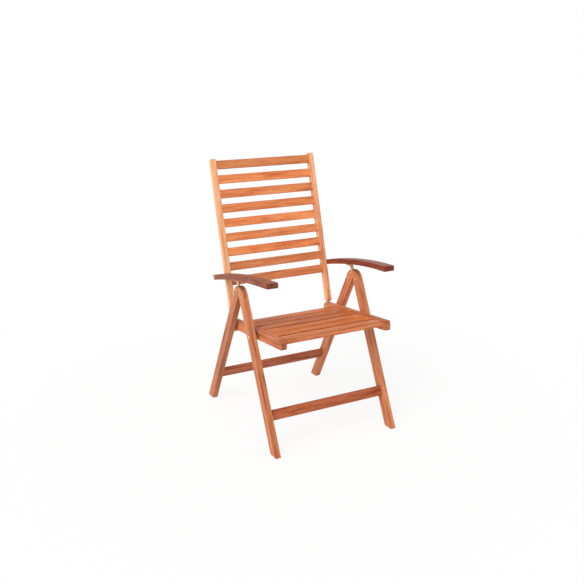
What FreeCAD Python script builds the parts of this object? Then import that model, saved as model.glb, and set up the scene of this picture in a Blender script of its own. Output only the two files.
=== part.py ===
"""Folding high-back garden armchair in hardwood with steel fittings.

Units are millimetres. +Z is up, the chair faces -Y, and +X is the sitter's left.
The origin is on the floor, under the middle of the open chair.
Side views are written as (y, z) pairs; a piece is that outline carried along X.
"""
import math
import os

import FreeCAD
import Part

V = FreeCAD.Vector
os.makedirs("parts", exist_ok=True)

# Timber sections and the planes they stand in
LEG_IN = 259.0          # inner face of the legs, from the middle
LEG_T = 24.0            # leg thickness along X
LEG_W = 43.0            # leg width in side view
RAIL_IN = 224.0         # inner face of the seat rails and the back stiles
RAIL_T = 24.0           # their thickness along X
RAIL_H = 41.0           # seat rail height
STILE_D = 24.0          # stile depth
ARM_GAP = 2.5           # between stile and armrest
ARM_W = 46.5            # armrest width at the rear
ARM_TOE_IN = 14.0       # how far the armrest's inner face curves inwards at the front
ARM_TOE_OUT = 11.2      # and its outer face
ARM_STRAIGHT = 40.0     # straight part of both faces, before the armrest bolt
ARM_T = 21.0            # armrest thickness
EASE = 2.0              # rounded arrises on the timber
LONG_EDGE = 100.0       # a slat's or stretcher's edges longer than this are rounded
LEG_EDGE = 60.0         # and a leg's
LEG_OUT = LEG_IN + LEG_T
RAIL_OUT = RAIL_IN + RAIL_T
ARM_IN = RAIL_OUT + ARM_GAP
ARM_OUT = ARM_IN + ARM_W

# Legs: both meet on an upright mitre below a rounded top
CROTCH = (-16.9, 579.0)
FRONT_LEAN = 25.9       # degrees from upright
REAR_LEAN = 28.45
ARCH_Z = 566.0          # height of the rounded top's centre
MITRE_GAP = 0.8

# Stretchers between the legs
STRETCHER_Z = 141.0
STRETCHER_H = 42.0
STRETCHER_T = 20.0

# Seat: the rails' top line runs from the rear point forward and up
SEAT_REF = (101.1, 430.7)
SEAT_SLOPE = 6.6        # degrees
RAIL_FRONT = 431.0      # front end, along the rail from SEAT_REF
HINGE_Y = 148.1         # lower hinge rivet
HINGE_DROP = 17.0       # and how far it lies below the rails' top
PIVOT_DROP = 28.7       # seat pivot below the rails' top
PIVOT_BACK = 2.7        # and behind the front leg's middle line
SLAT_N = 6
SLAT_PITCH = 67.0
SLAT_W = 54.0
SLAT_T = 17.5
SLAT_FRONT = 414.5      # front edge of the front slat, from SEAT_REF
FRONT_SLAT_T = 20.0
SLAT_DROP = 4.0         # slats lie this far below the rails' top

# Back: stiles lean, slats between them
BACK_LEAN = 16.1
LINK_LEN = 55.8         # between the two hinge rivets
LINK_LEAN = 6.84
STILE_LEN = 675.5
FOOT_BELOW = 33.5       # stile below the upper hinge rivet
ARM_BOLT_UP = 145.5     # armrest bolt above that rivet
ARM_BOLT_LOW = 4.0      # and below the middle of the last gap between the slats
BACK_N = 9
BACK_FIRST = 7.5        # first slat's top edge, down the stile
BACK_SLAT_H = 36.5
BACK_SLAT_T = 14.0
BACK_SETBACK = 2.0

# Joinery
TENON_L = 10.0
TENON_SHOULDER = 4.0
FIT = 0.1               # glue room round a tenon
RUN = 0.03              # running clearance of a pivot, on the radius
SIDE = 0.5              # air beside a plate in a slot that it turns in

# Steel fittings
PLATE_T = 3.0
RIVET_R = 4.0
RIVET_HEAD_R = 5.5
RIVET_HEAD_H = 1.6
BOLT_R = 4.0
BOLT_HEAD_R = 7.0
BOLT_HEAD_H = 4.0
APEX_AT = (-24.0, -1.0)               # apex rivet, from the crotch
PLATE_AT = ((20.0, 15.0), (42.5, -7.0))  # plate rivets, from the crotch
PIVOT_LOBE = 14.0
RIVET_LOBE = 8.5
SLOT_DEPTH = 38.0       # saw slot in the front leg, below the crotch on the inner edge
SLOT_TILT = 27.0        # degrees that its floor rises beyond square
REAR_SLOT_DEPTH = 33.0
LINK_LOBE = 11.0
SUPPORT_R = 5.0
SUPPORT_GAP = 0.3
NUT_AIR = 0.4
SLAT_BOLT_R = 3.0
SLAT_BOLT_HEAD_R = 6.0
SLAT_BOLT_HEAD_H = 7.0
SLAT_BOLT_BACK = 17.0   # slat bolt behind the middle of its slat
SLAT_BOLT_LOW = 3.0     # and below it
PIN_R = 2.0

# Armrest underside: a parabola in side view, measured from the armrest bolt
ARM_BACK = 15.0         # rear end behind the bolt
ARM_FORE = 485.0        # front end before the bolt
ARM_TAIL_LOW = 16.1     # rear end below the bolt
ARM_TIP_UP = 72.1       # front end above the bolt
ARM_BOW = 13.7          # how far the curve's middle lies above the line between its ends
ARM_SPANS = 9           # stretches that the curve is drawn in
ARM_END_CUT = 7.0       # how far the rear end is cut back below
RACK_BACK = 36.0        # rear end of the notched rack plate, behind the crotch
RACK_FORE = 68.0        # its front end, before the crotch
RACK_W = 16.0
RACK_T = 3.0
NOTCH_N = 5
NOTCH_PITCH = 17.0
NOTCH_L = 10.0
NOTCH_W = 8.0
GROOVE_D = 3.0
TONGUE_L = 5.0
TONGUE_H = 3.5
TONGUE_BACK = 24.0      # rear face of the tongue, behind the crotch
TONGUE_AIR = 0.7        # behind the tongue in its notch
REST_AIR = 0.6          # between the plate's rest and the armrest
REST_BACK = 68.0        # rear end of the plate's rest, behind the crotch
REST_H = 8.0
NECK_FRONT = 6.0        # front and rear of the plate's neck, behind the crotch
NECK_REAR = 31.0
NECK_UP = 34.0          # height at which the neck widens, above the crotch
SCREW_R = 1.6
SCREW_HEAD_R = 3.2


def unit(deg):
    """Direction in side view, degrees from upright, positive to the rear."""
    return math.sin(math.radians(deg)), math.cos(math.radians(deg))


def along(p, d, s):
    return p[0] + d[0] * s, p[1] + d[1] * s


def vec(p, x=0.0):
    return V(x, p[0], p[1])


def slab(edges, x0, x1):
    """Carry a closed side-view outline along X."""
    face = Part.Face(Part.Wire(Part.__sortEdges__(edges)))
    face.translate(V(x0, 0, 0))
    return face.extrude(V(x1 - x0, 0, 0))


def polygon(points):
    """Straight edges round a list of side-view points."""
    ends = points[1:] + points[:1]
    return [Part.makeLine(vec(a), vec(b)) for a, b in zip(points, ends)]


def plank(points, x0, x1):
    return slab(polygon(points), x0, x1)


def rod(p, r, x0, x1):
    """Round bar along X through the side-view point p."""
    return Part.makeCylinder(r, x1 - x0, V(x0, p[0], p[1]), V(1, 0, 0))


def ease(solid, radius, keep=None):
    """Round the arrises; keep(edge) says which edges are rounded."""
    edges = [e for e in solid.Edges if keep is None or keep(e)]
    return solid.makeFillet(radius, edges)


def mirrored(solid):
    return solid.mirror(V(0, 0, 0), V(1, 0, 0))


def save(name, solids):
    shape = solids[0] if len(solids) == 1 else Part.makeCompound(solids)
    shape.exportStep("parts/" + name + ".step")


def save_pair(name, solid):
    """Left piece (+X) and its mirror image."""
    save(name + "_left", [solid])
    save(name + "_right", [mirrored(solid)])


def save_group(name, solids):
    """Identical fasteners of both sides in one group."""
    save(name, solids + [mirrored(s) for s in solids])


def hull(circles, x0, x1):
    """Plate outline round two or three circles, given in turning order."""
    solid = None
    for (p, r) in circles:
        disc = rod(p, r, x0, x1)
        solid = disc if solid is None else solid.fuse(disc)
    n = len(circles)
    for i in range(n if n > 2 else 1):
        (p, r), (q, s) = circles[i], circles[(i + 1) % n]
        length = math.hypot(q[0] - p[0], q[1] - p[1])
        u = ((q[0] - p[0]) / length, (q[1] - p[1]) / length)
        sine = (r - s) / length
        cosine = math.sqrt(1 - sine * sine)
        corners = []
        for side in (1, -1):
            normal = (sine * u[0] - side * cosine * u[1], sine * u[1] + side * cosine * u[0])
            corners.append((along(p, normal, r), along(q, normal, s)))
        solid = solid.fuse(plank([corners[0][0], corners[0][1], corners[1][1], corners[1][0]], x0, x1))
    if n > 2:
        solid = solid.fuse(plank([c[0] for c in circles], x0, x1))
    return solid.removeSplitter()


def rivet(p, x0, x1):
    """Shank with a low head on both faces."""
    shank = rod(p, RIVET_R, x0, x1)
    for x, way in ((x0, -1), (x1, 1)):
        head = Part.makeCylinder(RIVET_HEAD_R, RIVET_HEAD_H, V(x, p[0], p[1]), V(way, 0, 0))
        rim = [e for e in head.Edges if abs(e.BoundBox.XMin - (x + way * RIVET_HEAD_H)) < 0.01
               and e.BoundBox.XLength < 0.01]
        shank = shank.fuse(head.makeFillet(RIVET_HEAD_H * 0.6, rim))
    return shank.removeSplitter()


def dome(p, x, way, r, h):
    """Rounded bolt head or cap nut standing on the plane x."""
    head = Part.makeCylinder(r, h, V(x, p[0], p[1]), V(way, 0, 0))
    rim = [e for e in head.Edges if abs(e.BoundBox.XMin - (x + way * h)) < 0.01
           and e.BoundBox.XLength < 0.01]
    return head.makeFillet(h * 0.7, rim)


def long_edges(limit):
    return lambda e: e.Length > limit


# Places that the pieces share

def meet(p, d, q, e):
    """Where the line through p along d meets the line through q along e."""
    s = ((q[0] - p[0]) * e[1] - (q[1] - p[1]) * e[0]) / (d[0] * e[1] - d[1] * e[0])
    return along(p, d, s)


def leg_middle(lean, sign, z):
    """Point of a leg's middle line at the height z: sign -1 for the front leg, +1 for the rear leg."""
    slope = math.tan(math.radians(lean))
    half = LEG_W / math.cos(math.radians(lean)) / 2
    return CROTCH[0] + sign * ((CROTCH[1] - z) * slope + half), z


SEAT_D = (-math.cos(math.radians(SEAT_SLOPE)), math.sin(math.radians(SEAT_SLOPE)))
SEAT_N = (math.sin(math.radians(SEAT_SLOPE)), math.cos(math.radians(SEAT_SLOPE)))


def seat_point(s, h):
    """Point s forward along the rails' top line and h above it."""
    return along(along(SEAT_REF, SEAT_D, s), SEAT_N, h)


FRONT_U = unit(FRONT_LEAN)
PIVOT_LINE = along(leg_middle(FRONT_LEAN, -1, SEAT_REF[1]), (FRONT_U[1], -FRONT_U[0]), PIVOT_BACK)
SEAT_PIVOT = meet(seat_point(0, -PIVOT_DROP), SEAT_D, PIVOT_LINE, FRONT_U)
SUPPORT_Y = leg_middle(REAR_LEAN, 1, SEAT_REF[1] - RAIL_H)[0]
HINGE_S = (HINGE_Y - SEAT_REF[0] + SEAT_N[0] * HINGE_DROP) / SEAT_D[0]
LOWER_HINGE = seat_point(HINGE_S, -HINGE_DROP)
UPPER = along(LOWER_HINGE, unit(LINK_LEAN), LINK_LEN)

BACK_U = unit(BACK_LEAN)
BACK_N_DIR = (BACK_U[1], -BACK_U[0])
UPPER_HINGE = STILE_LEN - FOOT_BELOW
ARM_BOLT = UPPER_HINGE - ARM_BOLT_UP
STILE_TOP = along(along(UPPER, BACK_U, UPPER_HINGE), BACK_N_DIR, -STILE_D / 2)
# The armrest bolt stands in the last gap between the slats
BACK_PITCH = (ARM_BOLT - ARM_BOLT_LOW - BACK_FIRST - BACK_SLAT_H / 2) / (BACK_N - 1.5)


def back_point(s, depth):
    """Point s down the stile from its top and depth behind its front face."""
    return along(along(STILE_TOP, BACK_U, -s), BACK_N_DIR, depth)


ARM_AXIS = back_point(ARM_BOLT, STILE_D / 2)


def arm_low_at(y):
    """Height of the armrest's underside: a straight climb plus a bow, with t from 0 at the rear to 1."""
    t = (ARM_AXIS[0] + ARM_BACK - y) / (ARM_BACK + ARM_FORE)
    return ARM_AXIS[1] - ARM_TAIL_LOW + (ARM_TAIL_LOW + ARM_TIP_UP) * t + 4 * ARM_BOW * t * (1 - t)


ARM_STEP = (ARM_BACK + ARM_FORE) / ARM_SPANS
ARM_Y = [ARM_AXIS[0] + ARM_BACK - i * ARM_STEP for i in range(ARM_SPANS + 1)]
ARM_LOW = [(y, arm_low_at(y)) for y in ARM_Y]
APEX_PIVOT = (CROTCH[0] + APEX_AT[0], CROTCH[1] + APEX_AT[1])
PLATE_RIVETS = [(CROTCH[0] + y, CROTCH[1] + z) for y, z in PLATE_AT]


# Legs

def leg_outline(lean, sign):
    """Outline of one leg: sign -1 for the front leg, +1 for the rear leg."""
    slope = math.tan(math.radians(lean))
    span = LEG_W / math.cos(math.radians(lean))
    mitre = CROTCH[0] + sign * MITRE_GAP / 2
    inner_foot = (CROTCH[0] + sign * CROTCH[1] * slope, 0.0)
    outer_foot = (inner_foot[0] + sign * span, 0.0)
    normal = (sign * math.cos(math.radians(lean)), math.sin(math.radians(lean)))
    radius = LEG_W + (CROTCH[1] - ARCH_Z) * math.sin(math.radians(lean))
    centre = (CROTCH[0], ARCH_Z)
    tangent = along(centre, normal, radius)
    half = math.radians((90 - lean) / 2)
    middle = (centre[0] + sign * radius * math.sin(half), centre[1] + radius * math.cos(half))
    top = (mitre, centre[1] + math.sqrt(radius ** 2 - (mitre - centre[0]) ** 2))
    crotch = (mitre, CROTCH[1] - abs(mitre - CROTCH[0]) / slope)
    return [Part.makeLine(vec(inner_foot), vec(outer_foot)), Part.makeLine(vec(outer_foot), vec(tangent)),
            Part.Arc(vec(tangent), vec(middle), vec(top)).toShape(),
            Part.makeLine(vec(top), vec(crotch)), Part.makeLine(vec(crotch), vec(inner_foot))]


def stretcher_frame(lean, sign):
    """Middle of the stretcher's section and its direction up the leg."""
    return leg_middle(lean, sign, STRETCHER_Z), unit(-sign * lean)


def oblong(centre, up, height, thick, x0, x1):
    across = (up[1], -up[0])
    pts = []
    for a, b in ((-1, -1), (1, -1), (1, 1), (-1, 1)):
        pts.append(along(along(centre, up, a * height / 2), across, b * thick / 2))
    return plank(pts, x0, x1)


def stretcher(lean, sign):
    centre, up = stretcher_frame(lean, sign)
    bar = ease(oblong(centre, up, STRETCHER_H, STRETCHER_T, -LEG_IN, LEG_IN), EASE, long_edges(LONG_EDGE))
    tenon = oblong(centre, up, STRETCHER_H - 2 * TENON_SHOULDER, STRETCHER_T - 2 * TENON_SHOULDER,
                   -LEG_IN - TENON_L, LEG_IN + TENON_L)
    return bar.fuse(tenon).removeSplitter()


def stretcher_mortise(lean, sign):
    centre, up = stretcher_frame(lean, sign)
    return oblong(centre, up, STRETCHER_H - 2 * TENON_SHOULDER + 2 * FIT,
                  STRETCHER_T - 2 * TENON_SHOULDER + 2 * FIT, LEG_IN - 1, LEG_IN + TENON_L + 5 * FIT)


def stretcher_pin(lean, sign):
    """Cross pin through the stretcher beside the leg, which locks its tenon."""
    centre, up = stretcher_frame(lean, sign)
    across = (up[1], -up[0])
    start = along(along(centre, up, -STRETCHER_H / 5), across, -STRETCHER_T / 2 - 0.4)
    return Part.makeCylinder(PIN_R, STRETCHER_T + 0.8, vec(start, LEG_IN - 7.0), V(0, across[0], across[1]))


PLATE_X0 = (LEG_IN + LEG_OUT - PLATE_T) / 2
PLATE_X1 = PLATE_X0 + PLATE_T
front_leg = ease(slab(leg_outline(FRONT_LEAN, -1), LEG_IN, LEG_OUT), EASE, long_edges(LEG_EDGE))
rear_leg = ease(slab(leg_outline(REAR_LEAN, 1), LEG_IN, LEG_OUT), EASE, long_edges(LEG_EDGE))
front_bar = stretcher(FRONT_LEAN, -1)
rear_bar = stretcher(REAR_LEAN, 1)
front_leg = front_leg.cut(stretcher_mortise(FRONT_LEAN, -1))
rear_leg = rear_leg.cut(stretcher_mortise(REAR_LEAN, 1))
front_pin = stretcher_pin(FRONT_LEAN, -1)
rear_pin = stretcher_pin(REAR_LEAN, 1)
front_bar = front_bar.cut(front_pin).cut(mirrored(front_pin))
rear_bar = rear_bar.cut(rear_pin).cut(mirrored(rear_pin))

# Apex plate: riveted in the rear leg, turning on the front leg's rivet

def saw_slot(depth, lean, sign, air, tilt=0.0):
    """Slot for the apex plate, from depth below the crotch on the leg's inner edge.

    Its floor is square to the leg, or rises beyond square by tilt degrees.
    """
    slope = math.tan(math.radians(lean))
    start = (CROTCH[0] + sign * depth * slope, CROTCH[1] - depth)
    across = (sign * math.cos(math.radians(lean + tilt)), math.sin(math.radians(lean + tilt)))
    near, far = along(start, across, -LEG_W), along(start, across, 2 * LEG_W)
    top = CROTCH[1] + 3 * LEG_W
    return plank([near, far, (far[0], top), (near[0], top)], PLATE_X0 - air, PLATE_X1 + air)


front_slot = saw_slot(SLOT_DEPTH, FRONT_LEAN, -1, SIDE, SLOT_TILT)
front_leg = front_leg.cut(front_slot).cut(rod(APEX_PIVOT, RIVET_R, LEG_IN, LEG_OUT))
front_leg = front_leg.cut(rod(SEAT_PIVOT, BOLT_R, LEG_IN, LEG_OUT))


RACK_A = (CROTCH[0] + RACK_BACK, arm_low_at(CROTCH[0] + RACK_BACK))
RACK_B = (CROTCH[0] - RACK_FORE, arm_low_at(CROTCH[0] - RACK_FORE))
RACK_L = math.hypot(RACK_B[0] - RACK_A[0], RACK_B[1] - RACK_A[1])
RACK_D = ((RACK_B[0] - RACK_A[0]) / RACK_L, (RACK_B[1] - RACK_A[1]) / RACK_L)
RACK_N = (-RACK_D[1], RACK_D[0]) if RACK_D[0] > 0 else (RACK_D[1], -RACK_D[0])


def rack_point(s, h):
    """Point s along the rack plate from its rear end and h above its lower face."""
    return along(along(RACK_A, RACK_D, s), RACK_N, h)


TONGUE_S = (CROTCH[0] + TONGUE_BACK - RACK_A[0]) / RACK_D[0]
REST_END = CROTCH[0] + REST_BACK
rest_low = arm_low_at(REST_END) - REST_AIR
plate = hull([(APEX_PIVOT, PIVOT_LOBE), (PLATE_RIVETS[0], RIVET_LOBE), (PLATE_RIVETS[1], RIVET_LOBE)],
             PLATE_X0, PLATE_X1)
tongue_base = rack_point(TONGUE_S, -REST_AIR)
neck_low, neck_top = PLATE_RIVETS[0][1], CROTCH[1] + NECK_UP
neck_y = (CROTCH[0] + NECK_FRONT, CROTCH[0] + NECK_REAR)
neck = [(neck_y[0], neck_low), (neck_y[0], neck_top),
        rack_point(TONGUE_S + TONGUE_L, -REST_AIR - REST_H * 0.75),
        rack_point(TONGUE_S + TONGUE_L, TONGUE_H), rack_point(TONGUE_S, TONGUE_H), tongue_base,
        (REST_END, rest_low), (REST_END, rest_low - REST_H),
        (neck_y[1] + REST_H * 1.5, rest_low - REST_H * 0.4),
        (neck_y[1], neck_top), (neck_y[1], neck_low)]
plate = plate.fuse(plank(neck, PLATE_X0, PLATE_X1)).removeSplitter()
plate = plate.cut(rod(APEX_PIVOT, RIVET_R + RUN, PLATE_X0, PLATE_X1))
rear_leg = rear_leg.cut(saw_slot(REAR_SLOT_DEPTH, REAR_LEAN, 1, 0.0))
for hole in PLATE_RIVETS:
    rear_leg = rear_leg.cut(rod(hole, RIVET_R, LEG_IN, LEG_OUT))
    plate = plate.cut(rod(hole, RIVET_R, PLATE_X0, PLATE_X1))

# Seat rails and slats
rail_edges = [Part.makeLine(vec(seat_point(HINGE_S, 0)), vec(seat_point(RAIL_FRONT, 0))),
              Part.makeLine(vec(seat_point(RAIL_FRONT, 0)), vec(seat_point(RAIL_FRONT, -RAIL_H))),
              Part.makeLine(vec(seat_point(RAIL_FRONT, -RAIL_H)), vec(seat_point(HINGE_S, -RAIL_H))),
              Part.Arc(vec(seat_point(HINGE_S, -RAIL_H)), vec(seat_point(HINGE_S - RAIL_H / 2, -RAIL_H / 2)),
                       vec(seat_point(HINGE_S, 0))).toShape()]
rail = slab(rail_edges, RAIL_IN, RAIL_OUT)
NOSE_R = 10.0
nose_y = seat_point(RAIL_FRONT - NOSE_R / 2, 0)[0]
nose = [e for e in rail.Edges if e.BoundBox.XLength > RAIL_T - 1 and e.CenterOfMass.y < nose_y]
rail = rail.makeFillet(NOSE_R, nose)
rail = ease(rail, EASE, lambda e: e.BoundBox.XLength < 0.01 and e.Length > 5)


def slat_block(front, width, top, thick, x0, x1):
    pts = [seat_point(front, top), seat_point(front - width, top),
           seat_point(front - width, top - thick), seat_point(front, top - thick)]
    return plank(pts, x0, x1)


def seat_slat(index):
    """Slat counted from the front; returns the slat and its mortise."""
    front = SLAT_FRONT - index * SLAT_PITCH
    thick = FRONT_SLAT_T if index == 0 else SLAT_T
    body = ease(slat_block(front, SLAT_W, -SLAT_DROP, thick, -RAIL_IN, RAIL_IN), EASE, long_edges(LONG_EDGE))
    if index == 0:
        body = slat_block(front, SLAT_W, -SLAT_DROP, thick, -RAIL_IN, RAIL_IN)
        edge = [e for e in body.Edges if e.Length > LONG_EDGE]
        lead = max(edge, key=lambda e: e.CenterOfMass.z - e.CenterOfMass.y)
        body = body.makeFillet(4 * EASE, [lead])
        middle = seat_point(front, -thick / 2)[1]
        rest = [e for e in body.Edges if e.Length > LONG_EDGE and e.CenterOfMass.z < middle]
        body = body.makeFillet(EASE, rest)
    inset, top = TENON_SHOULDER, -SLAT_DROP - TENON_SHOULDER
    height = SLAT_T - 2 * TENON_SHOULDER
    tenon = slat_block(front - inset, SLAT_W - 2 * inset, top, height, -RAIL_IN - TENON_L, RAIL_IN + TENON_L)
    mortise = slat_block(front - inset + FIT, SLAT_W - 2 * inset + 2 * FIT, top + FIT, height + 2 * FIT,
                         RAIL_IN - 1, RAIL_IN + TENON_L + 5 * FIT)
    return body.fuse(tenon).removeSplitter(), mortise


slats = []
for i in range(SLAT_N):
    solid, mortise = seat_slat(i)
    rail = rail.cut(mortise)
    slats.append(solid)
BOLTED = 2              # this slat is drawn tight by a bolt through each rail
bolt_front = SLAT_FRONT - BOLTED * SLAT_PITCH
slat_bolt_at = seat_point(bolt_front - SLAT_W / 2 - SLAT_BOLT_BACK, -SLAT_DROP - SLAT_T / 2 - SLAT_BOLT_LOW)
BOLT_REACH = 30.0
slat_bolt = rod(slat_bolt_at, SLAT_BOLT_R, RAIL_IN - BOLT_REACH, RAIL_OUT)
slats[BOLTED] = slats[BOLTED].cut(slat_bolt).cut(mirrored(slat_bolt))
rail = rail.cut(slat_bolt)
slat_bolt_head = dome(slat_bolt_at, RAIL_OUT, 1, SLAT_BOLT_HEAD_R, SLAT_BOLT_HEAD_H)
slat_bolt = slat_bolt.fuse(slat_bolt_head).removeSplitter()
rail = rail.cut(rod(SEAT_PIVOT, BOLT_R + RUN, RAIL_IN, RAIL_OUT))

# Seat pivot: bolt and nut held by the front leg, with a spacer in the gap
SPACER_R = 10.0
spacer = rod(SEAT_PIVOT, SPACER_R, RAIL_OUT + SIDE, LEG_IN).cut(rod(SEAT_PIVOT, BOLT_R, RAIL_OUT, LEG_IN))
NUT_R = 6.4
NUT_H = 5.0
pivot_bolt = rod(SEAT_PIVOT, BOLT_R, RAIL_IN - NUT_AIR - NUT_H, LEG_OUT)
pivot_bolt = pivot_bolt.fuse(dome(SEAT_PIVOT, LEG_OUT, 1, BOLT_HEAD_R, BOLT_HEAD_H)).removeSplitter()
pivot_nut = dome(SEAT_PIVOT, RAIL_IN - NUT_AIR, -1, NUT_R, NUT_H + 2.0).cut(
    rod(SEAT_PIVOT, BOLT_R, RAIL_IN - NUT_AIR - NUT_H, RAIL_IN))

# Seat support pins under the rails, fixed in the rear legs
support_s = (SUPPORT_Y - SEAT_REF[0]) / SEAT_D[0]
support_at = seat_point(support_s, -RAIL_H - SUPPORT_R - SUPPORT_GAP)
support = rod(support_at, SUPPORT_R, RAIL_IN + 3.0, LEG_IN + LEG_T / 2)
rear_leg = rear_leg.cut(support)

# Backrest
FOOT_R = 9.0
TOP_END_R = 3.0
stile = plank([back_point(0, 0), back_point(0, STILE_D),
               back_point(STILE_LEN, STILE_D), back_point(STILE_LEN, 0)], RAIL_IN, RAIL_OUT)
stile = ease(stile, FOOT_R, lambda e: e.BoundBox.XLength > RAIL_T - 1 and e.CenterOfMass.z < UPPER[1])
stile = ease(stile, TOP_END_R, lambda e: e.BoundBox.XLength > RAIL_T - 1 and e.CenterOfMass.z > ARM_AXIS[1])
stile = ease(stile, EASE, lambda e: e.BoundBox.XLength < 0.01)


def back_block(s, height, depth, thick, x0, x1):
    return plank([back_point(s, depth), back_point(s, depth + thick),
                  back_point(s + height, depth + thick), back_point(s + height, depth)], x0, x1)


back_slats = []
for i in range(BACK_N):
    s0 = BACK_FIRST + i * BACK_PITCH
    body = back_block(s0, BACK_SLAT_H, BACK_SETBACK, BACK_SLAT_T, -RAIL_IN, RAIL_IN)
    body = ease(body, EASE, long_edges(LONG_EDGE))
    inset, depth = TENON_SHOULDER + 2.0, BACK_SETBACK + TENON_SHOULDER
    size = (BACK_SLAT_H - 2 * inset, BACK_SLAT_T - 2 * TENON_SHOULDER)
    tenon = back_block(s0 + inset, size[0], depth, size[1], -RAIL_IN - TENON_L, RAIL_IN + TENON_L)
    back_slats.append(body.fuse(tenon).removeSplitter())
    stile = stile.cut(back_block(s0 + inset - FIT, size[0] + 2 * FIT, depth - FIT, size[1] + 2 * FIT,
                                 RAIL_IN - 1, RAIL_IN + TENON_L + 5 * FIT))

# Hinge links in slots at the rails' rear ends and the stiles' feet
LINK_X0 = (RAIL_IN + RAIL_OUT - PLATE_T) / 2
LINK_X1 = LINK_X0 + PLATE_T
link = hull([(LOWER_HINGE, LINK_LOBE), (UPPER, LINK_LOBE)], LINK_X0, LINK_X1)
for hole in (LOWER_HINGE, UPPER):
    link = link.cut(rod(hole, RIVET_R + RUN, LINK_X0, LINK_X1))
SLOT_PAST = 3.0         # slot depth past the link's rounded end
slot_ends = (HINGE_S - RAIL_H, HINGE_S + LINK_LOBE + SLOT_PAST)
rail_slot = plank([seat_point(slot_ends[0], 5), seat_point(slot_ends[1], 5),
                   seat_point(slot_ends[1], -RAIL_H - 5), seat_point(slot_ends[0], -RAIL_H - 5)],
                  LINK_X0 - SIDE, LINK_X1 + SIDE)
rail = rail.cut(rail_slot).cut(rod(LOWER_HINGE, RIVET_R, RAIL_IN, RAIL_OUT))
stile_slot = back_block(UPPER_HINGE - LINK_LOBE - SLOT_PAST, STILE_LEN, -5, STILE_D + 10,
                        LINK_X0 - SIDE, LINK_X1 + SIDE)
stile = stile.cut(stile_slot).cut(rod(UPPER, RIVET_R, RAIL_IN, RAIL_OUT))

# Armrest bolts through the stiles; the armrests turn on them
stile = stile.cut(rod(ARM_AXIS, BOLT_R, RAIL_IN, RAIL_OUT))
CAP_R = 6.5
CAP_H = 4.0
arm_bolt = rod(ARM_AXIS, BOLT_R, RAIL_IN, ARM_OUT + NUT_AIR + CAP_H / 2)
arm_bolt = arm_bolt.fuse(dome(ARM_AXIS, RAIL_IN, -1, CAP_R, BOLT_HEAD_H)).removeSplitter()
arm_nut = dome(ARM_AXIS, ARM_OUT + NUT_AIR, 1, CAP_R, CAP_H).cut(
    rod(ARM_AXIS, BOLT_R, ARM_OUT, ARM_OUT + NUT_AIR + CAP_H / 2))
WASHER_R = 9.0
washer = rod(ARM_AXIS, WASHER_R, RAIL_OUT, ARM_IN - SIDE).cut(rod(ARM_AXIS, BOLT_R, RAIL_OUT, ARM_IN))

# Armrest: a curved board with rounded upper edges

lower = [vec(p) for p in ARM_LOW]
upper = []
for i, p in enumerate(ARM_LOW):
    a, b = ARM_LOW[max(i - 1, 0)], ARM_LOW[min(i + 1, len(ARM_LOW) - 1)]
    span = math.hypot(b[0] - a[0], b[1] - a[1])
    t = ((b[0] - a[0]) / span, (b[1] - a[1]) / span)
    upper.append(vec(along(p, (t[1], -t[0]), ARM_T)))
tail = (ARM_LOW[1][0] - ARM_LOW[0][0], ARM_LOW[1][1] - ARM_LOW[0][1])
tail_len = math.hypot(tail[0], tail[1])
lower[0] = vec(along(ARM_LOW[0], (tail[0] / tail_len, tail[1] / tail_len), ARM_END_CUT))
low_curve = Part.BSplineCurve()
low_curve.interpolate(lower)
top_curve = Part.BSplineCurve()
top_curve.interpolate(upper)
arm_edges = [low_curve.toShape(), Part.makeLine(lower[-1], upper[-1]), top_curve.toShape(),
             Part.makeLine(upper[0], lower[0])]
PLAN_START = ARM_AXIS[0] - ARM_STRAIGHT
PLAN_REACH = PLAN_START - ARM_LOW[-1][0]


def plan_side(x, toe):
    """One long face in plan: straight past the bolt, then an arc that is toe further in at the front."""
    radius = (PLAN_REACH ** 2 + toe ** 2) / (2 * toe)
    pts = []
    for part in (0.0, 0.5, 1.1):
        run = PLAN_REACH * part
        pts.append(V(x - radius + math.sqrt(radius ** 2 - run ** 2), PLAN_START - run, 0))
    return V(x, ARM_AXIS[0] + 2 * ARM_W, 0), pts


def arm_plan():
    """Upright prism with the armrest's outline in plan."""
    rear_in, face_in = plan_side(ARM_IN, ARM_TOE_IN)
    rear_out, face_out = plan_side(ARM_OUT, ARM_TOE_OUT)
    edges = [Part.makeLine(rear_in, face_in[0]), Part.Arc(*face_in).toShape(),
             Part.makeLine(face_in[2], face_out[2]), Part.Arc(*face_out).toShape(),
             Part.makeLine(face_out[0], rear_out), Part.makeLine(rear_out, rear_in)]
    return Part.Face(Part.Wire(Part.__sortEdges__(edges))).extrude(V(0, 0, 2 * CROTCH[1]))


TIP_R = 7.0
TOP_R = 4.0
arm = slab(arm_edges, ARM_IN - ARM_W, ARM_OUT + ARM_W).common(arm_plan())
front_y = ARM_LOW[-1][0] + ARM_T
corners = [e for e in arm.Edges if e.BoundBox.ZLength > ARM_T / 2 and e.Length < 2 * ARM_T
           and e.CenterOfMass.y < front_y]
arm = arm.makeFillet(TIP_R, corners)
rim = [e for e in arm.Edges if e.BoundBox.XLength < ARM_W / 2 and e.BoundBox.YLength > ARM_T and
       e.CenterOfMass.z > arm_low_at(e.CenterOfMass.y) + ARM_T / 2]
arm = arm.makeFillet(TOP_R, rim)
arm = arm.cut(rod(ARM_AXIS, BOLT_R + RUN, ARM_IN, ARM_OUT))

# Notched rack plate let into the armrest's underside
RACK_X = (PLATE_X0 + PLATE_X1) / 2


def rack_block(s0, s1, h0, h1, width):
    return plank([rack_point(s0, h0), rack_point(s1, h0), rack_point(s1, h1), rack_point(s0, h1)],
                 RACK_X - width / 2, RACK_X + width / 2)


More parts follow.
